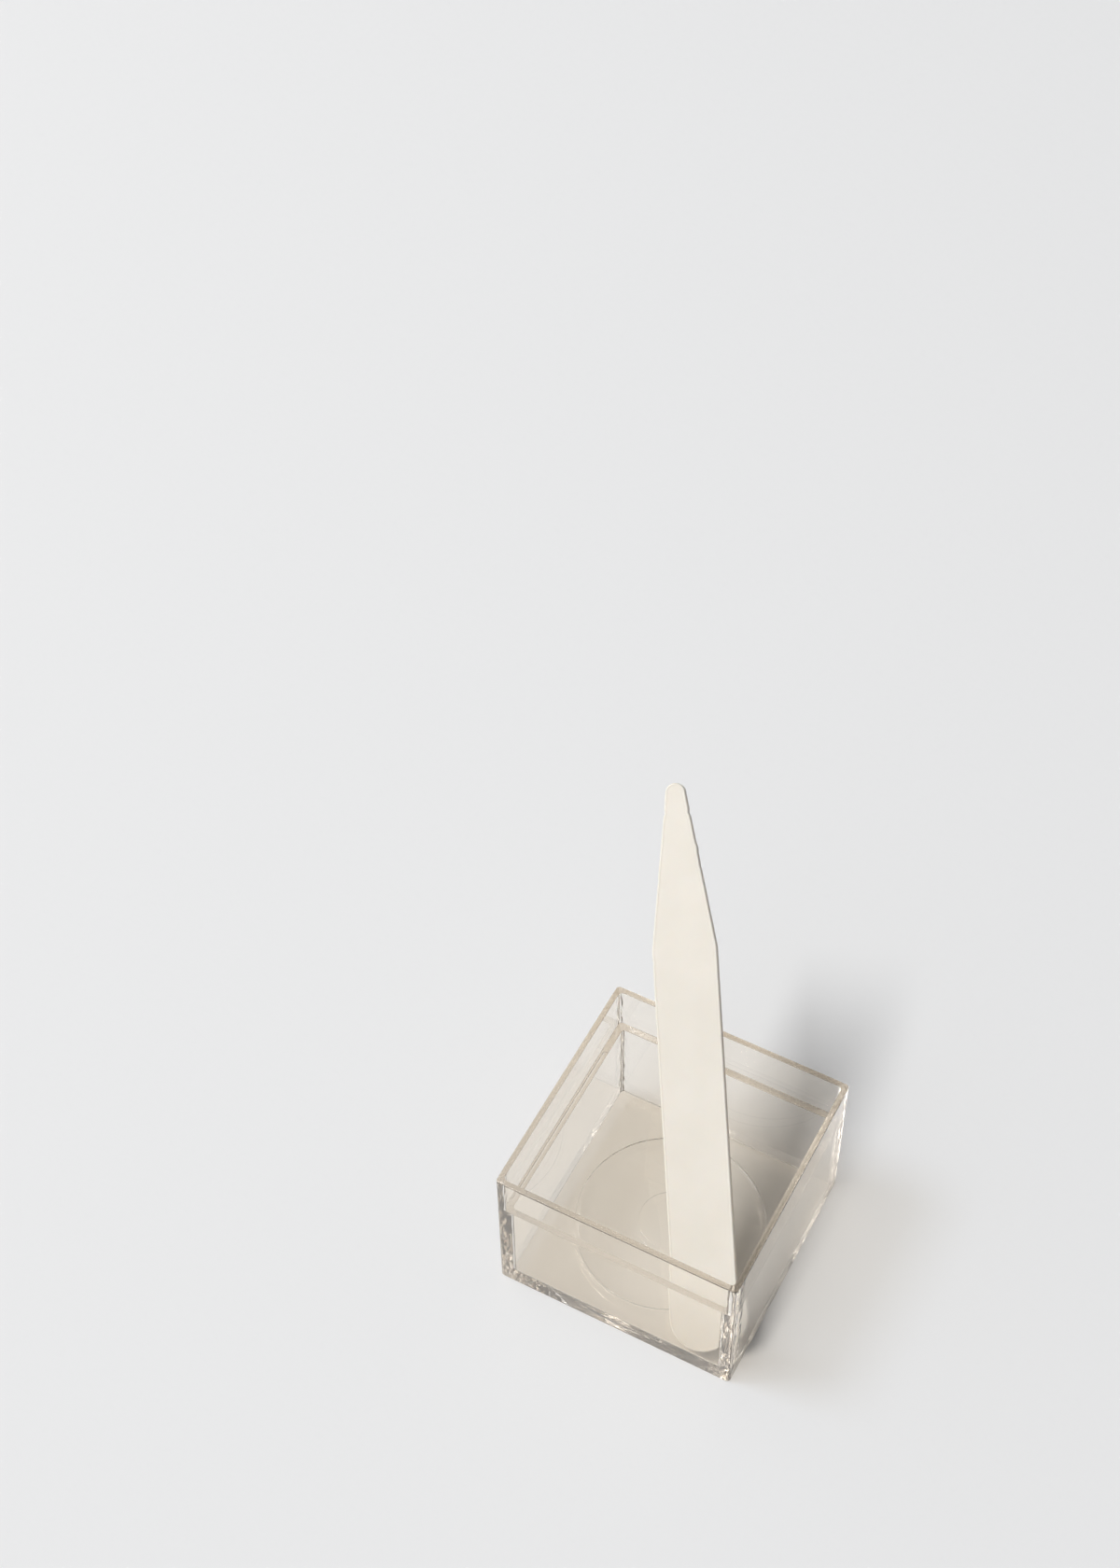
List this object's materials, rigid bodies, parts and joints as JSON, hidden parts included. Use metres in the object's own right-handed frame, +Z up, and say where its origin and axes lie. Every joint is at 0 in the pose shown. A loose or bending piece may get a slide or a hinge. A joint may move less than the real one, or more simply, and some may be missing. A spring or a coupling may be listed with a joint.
{
  "type": "collar stay in clear box lid",
  "caption": "Flat ivory collar stay with a narrow tip and round foot, leaning in the square clear plastic lid of its box.",
  "frame": {"origin": "middle of the lid's flat underside", "axes": "+Z up out of the lid, +Y towards the wall whose rim the stay leans on, +X along the front wall to the corner where its foot stands"},
  "size_m": [0.0384, 0.0573, 0.0441],
  "materials": {
    "ivory_plastic": "matte moulded ivory plastic",
    "clear_plastic": "clear polished moulded plastic with a faint warm grey tint"
  },
  "bodies": {
    "root": {"collar_stay": "ivory_plastic", "clear_lid": "clear_plastic"}
  },
  "joints": []
}
